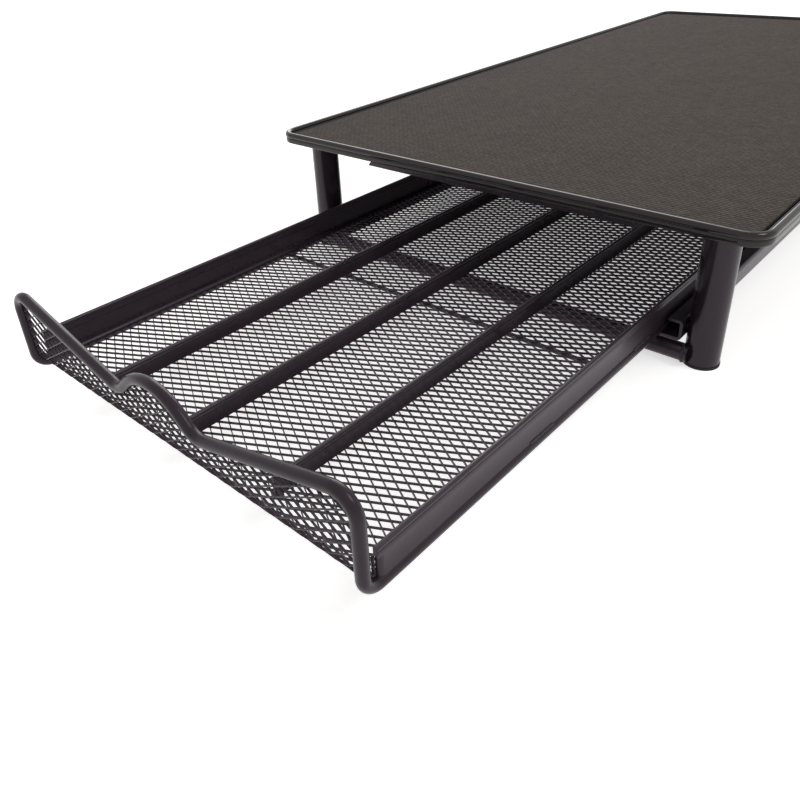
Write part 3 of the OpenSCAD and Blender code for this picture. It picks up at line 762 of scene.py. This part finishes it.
weldLook = {
    "seed": 7, "step": 0.42, "blob": 0.55, "blobSides": 8, "blobLevels": (-0.5, 0.25, 0.8),
    "smallest": (0.65, 0.65, 0.9), "largest": (1.1, 1.15, 1.5), "sharp": 80,
    "stripX": 78.9, "stripZ": 13.75, "stripY": (-205, -143, -81, -19, 43, 101), "stripLong": 11,
    "bendX": 0.6, "bendRing": 2.95, "bendFrom": 178, "bendTo": 278, "bendSteps": 12,
    "endX": 77.1, "endHigh": 5.5, "legX": 91.7, "legRing": 6.05, "legTop": 50.45, "legSteps": 36,
    "barIn": 4.5, "barOut": 4.6, "barRing": 3.3, "barZ": 4.3, "barSteps": 24,
}
finest = 0.001 * mm  # the small pieces merge only what is closer than this
legFrontY, legRearY = [(low.y + high.y) / 2 / mm
    for low, high in (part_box("leg_front_right"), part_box("leg_rear_right"))]


def beadTree():  # ripples of weld metal along the lines of a path
    tree, given = startTree("weld_bead", (("Path", "Geometry"), ("Blob", "Object"),
        ("Step", "Float"), ("Smallest", "Vector"), ("Largest", "Vector"), ("Seed", "Int"),
        ("Finish", "Material")))
    line = addNode(tree, "GeometryNodeMeshToCurve", {"Mesh": given["Path"]})
    spots = addNode(tree, "GeometryNodeCurveToPoints",
        {"Curve": line.outputs["Curve"], "Length": given["Step"]}, mode="LENGTH")
    blob = addNode(tree, "GeometryNodeObjectInfo", {"Object": given["Blob"]})
    size = addNode(tree, "FunctionNodeRandomValue", {"Min": given["Smallest"],
        "Max": given["Largest"], "Seed": given["Seed"]}, data_type="FLOAT_VECTOR")
    beads = addNode(tree, "GeometryNodeInstanceOnPoints", {"Points": spots.outputs["Points"],
        "Instance": blob.outputs["Geometry"], "Rotation": spots.outputs["Rotation"],
        "Scale": size.outputs["Value"]})
    return endTree(tree, beads.outputs["Instances"], given["Finish"])


def weldBlob(w):  # a drop of weld metal with few faces
    n, levels = w["blobSides"], w["blobLevels"]
    verts = [Vector((0, 0, -w["blob"])) * mm]
    for up in levels:
        r = math.sqrt(1 - up * up) * w["blob"]
        verts += [Vector((r * math.cos(t), r * math.sin(t), up * w["blob"])) * mm
            for t in [2 * math.pi * k / n for k in range(n)]]
    verts.append(Vector((0, 0, w["blob"])) * mm)
    faces = [(0, 1 + (k + 1) % n, 1 + k) for k in range(n)]
    for i in range(len(levels) - 1):
        low, high = 1 + n * i, 1 + n * (i + 1)
        faces += [(low + k, low + (k + 1) % n, high + (k + 1) % n, high + k) for k in range(n)]
    tip = len(verts) - 1
    faces += [(tip - n + k, tip - n + (k + 1) % n, tip) for k in range(n)]
    return meshObject("weld_blob", verts, faces)


def ringPath(centre, a, b, radius, start, end, steps):  # an arc in the plane of two directions
    return [Vector(centre) + (Vector(a) * math.cos(t) + Vector(b) * math.sin(t)) * radius
        for t in [math.radians(start + (end - start) * k / steps) for k in range(steps + 1)]]


def makeWelds(w):
    east, north, up = (1, 0, 0), (0, 1, 0), (0, 0, 1)
    drawer, stand = [], []
    for side in (1, -1):
        for y in w["stripY"]:
            drawer.append([Vector((side * w["stripX"], y + end * w["stripLong"] / 2, w["stripZ"]))
                for end in (-1, 1)])
        bend = wireLook["footBend"]
        drawer.append(ringPath((side * (wireX - w["bendX"]), wireY + bend, wireZ + bend),
            north, up, w["bendRing"], w["bendFrom"], w["bendTo"], w["bendSteps"]))
        drawer.append([Vector((side * w["endX"], stripLook["frontY"],
            stripLook["footZ"] + k * w["endHigh"])) for k in (0, 1)])
        for y, barY in ((legFrontY, legFrontY - w["barOut"]), (legRearY, legRearY + w["barOut"])):
            stand.append(ringPath((side * w["legX"], y, w["legTop"]), east, north,
                w["legRing"], 0, 360, w["legSteps"]))
            stand.append(ringPath((side * (w["legX"] - w["barIn"]), barY, w["barZ"]), north, up,
                w["barRing"], 0, 360, w["barSteps"]))
    blob, tree = weldBlob(w), beadTree()
    for name, body, paths in (("strip_weld_beads", "drawer", drawer),
            ("stand_weld_beads", "stand", stand)):
        verts, links = [], []
        for path in paths:
            links += [(len(verts) + i, len(verts) + i + 1) for i in range(len(path) - 1)]
            verts += [p * mm for p in path]
        beads = meshObject(name, verts, [], edges=links)
        bakeTree(beads, tree, {"Blob": blob, "Step": w["step"] * mm, "Smallest": w["smallest"],
            "Largest": w["largest"], "Seed": w["seed"], "Finish": weldCoat})
        tidyMesh(beads, merge=finest, sharp=w["sharp"])
        finishPiece(beads, body, "satin_black_steel")
    bpy.data.objects.remove(blob)


makeWelds(weldLook)
print("welds laid")


# screws

screwLook = {
    "head": 1.95, "high": 1.3, "shank": 1.5, "long": 2.49, "tipSide": 0.2, "tipLong": 0.3,
    "sides": 24, "sharp": 38, "webX": 84.7, "z": 12.65,
    "dome": ((0.55, 1), (0.8, 0.86), (0.95, 0.6), (1, 0.3)),  # shares of the height and the radius
    "slot": 0.42, "slotLong": 0.62, "deep": 0.75, "taper": 0.75,
}


def screwTree():  # one screw at each point, its head towards the middle
    tree, given = startTree("rail_screws", (("Places", "Geometry"), ("Screw", "Object"),
        ("Finish", "Material")))
    screw = addNode(tree, "GeometryNodeObjectInfo", {"Object": given["Screw"]})
    place = addNode(tree, "GeometryNodeInputPosition").outputs[0]
    axes = addNode(tree, "ShaderNodeSeparateXYZ", {0: place}).outputs
    left = addNode(tree, "ShaderNodeMath", {0: axes["X"], 1: 0.0}, operation="LESS_THAN")
    turn = addNode(tree, "ShaderNodeMath", {0: left.outputs[0], 1: math.pi}, operation="MULTIPLY")
    angles = addNode(tree, "ShaderNodeCombineXYZ", {"Z": turn.outputs[0]})
    put = addNode(tree, "GeometryNodeInstanceOnPoints", {"Points": given["Places"],
        "Instance": screw.outputs["Geometry"], "Rotation": angles.outputs[0]})
    return endTree(tree, put.outputs["Instances"], given["Finish"])


def makeScrews(s):
    head, high, shank = s["head"], s["high"], s["shank"]
    profile = [(s["long"], shank - s["tipSide"]), (s["long"] - s["tipLong"], shank), (0, shank),
        (0, head)] + [(-high * up, head * share) for up, share in s["dome"]]
    turns = [2 * math.pi * k / s["sides"] for k in range(s["sides"])]
    rings = [[Vector((x, r * math.cos(t), r * math.sin(t))) for t in turns] for x, r in profile]
    screw = mergeSkins("screw", [joinRings(rings, True, True)], screwOxide, s["sharp"])
    h, d = s["slot"] / 2, head * s["slotLong"]
    for a, b in ((h, d), (d, h)):
        ends = [[Vector((x, y * k, z * k)) for y, z in ((-a, -b), (a, -b), (a, b), (-a, b))]
            for x, k in ((-high - 1, 1), (-high + s["deep"], s["taper"]))]
        cutter = mergeSkins("recess", [joinRings(ends, True, True)], screwOxide, s["sharp"])
        cutWith(screw, cutter, "DIFFERENCE")
    points = [Vector((side * s["webX"], y, s["z"])) * mm
        for side in (1, -1) for y in (legFrontY, legRearY)]
    screws = meshObject("cross_recess_screws", points, [])
    bakeTree(screws, screwTree(), {"Screw": screw, "Finish": screwOxide})
    bpy.data.objects.remove(screw)
    finishPiece(tidyMesh(screws, merge=finest), "stand", "screw_steel", "rail_screws")


makeScrews(screwLook)
print("screws driven")


# studio

studio = {
    "floor": "#f4f3f1", "size": 40.0, "lift": 0.6, "sky": 0.5,
    "lamps": {  # place, aim, size and power
        "key_softbox": ((0.85, 0.1, 1.2), (0, -0.1, 0.02), 0.5, 5),
        "rear_softbox": ((-0.95, 1.25, 0.95), (0, -0.05, 0.03), 1.3, 15),
    },
}


def seenRay(tree):  # 1 for what the camera sees, also in a gloss or through glass
    path = addNode(tree, "ShaderNodeLightPath").outputs
    seen = addNode(tree, "ShaderNodeMath",
        {0: path["Is Camera Ray"], 1: path["Is Glossy Ray"]}, operation="MAXIMUM")
    return addNode(tree, "ShaderNodeMath",
        {0: seen.outputs[0], 1: path["Is Transmission Ray"]}, operation="MAXIMUM").outputs[0]


def makeFloor(s):
    half = s["size"] / 2
    corners = [(-half, -half, 0), (half, -half, 0), (half, half, 0), (-half, half, 0)]
    material, tree = newMaterial("studio_floor")
    matt = addNode(tree, "ShaderNodeBsdfDiffuse", {"Color": linear(s["floor"])})
    glow = addNode(tree, "ShaderNodeEmission", {"Color": (1, 1, 1, 1), "Strength": s["lift"]})
    pale = addNode(tree, "ShaderNodeAddShader",
        {0: matt.outputs["BSDF"], 1: glow.outputs["Emission"]})
    mix = addNode(tree, "ShaderNodeMixShader",
        {0: seenRay(tree), 1: matt.outputs["BSDF"], 2: pale.outputs["Shader"]})
    addNode(tree, "ShaderNodeOutputMaterial", {"Surface": mix.outputs["Shader"]})
    meshObject("studio_floor", corners, [(0, 1, 2, 3)], material)


def makeLight(s):
    world = bpy.data.worlds.new("studio")
    bpy.context.scene.world = world
    world.use_nodes = True
    tree = world.node_tree
    tree.nodes.clear()
    sky = addNode(tree, "ShaderNodeBackground", {"Color": (1, 1, 1, 1), "Strength": s["sky"]})
    white = addNode(tree, "ShaderNodeBackground", {"Color": (1, 1, 1, 1), "Strength": 1.0})
    mix = addNode(tree, "ShaderNodeMixShader",
        {0: seenRay(tree), 1: sky.outputs[0], 2: white.outputs[0]})
    addNode(tree, "ShaderNodeOutputWorld", {"Surface": mix.outputs["Shader"]})
    for name, (place, aim, size, power) in s["lamps"].items():
        data = bpy.data.lights.new(name, "AREA")
        data.energy, data.size = power, size
        lamp = bpy.data.objects.new(name, data)
        lamp.location = place
        towards = Vector(aim) - Vector(place)
        lamp.rotation_euler = towards.to_track_quat("-Z", "Y").to_euler()
        bpy.context.scene.collection.objects.link(lamp)
    bpy.context.scene.view_settings.view_transform = "Standard"


makeFloor(studio)
makeLight(studio)
print("studio lit")
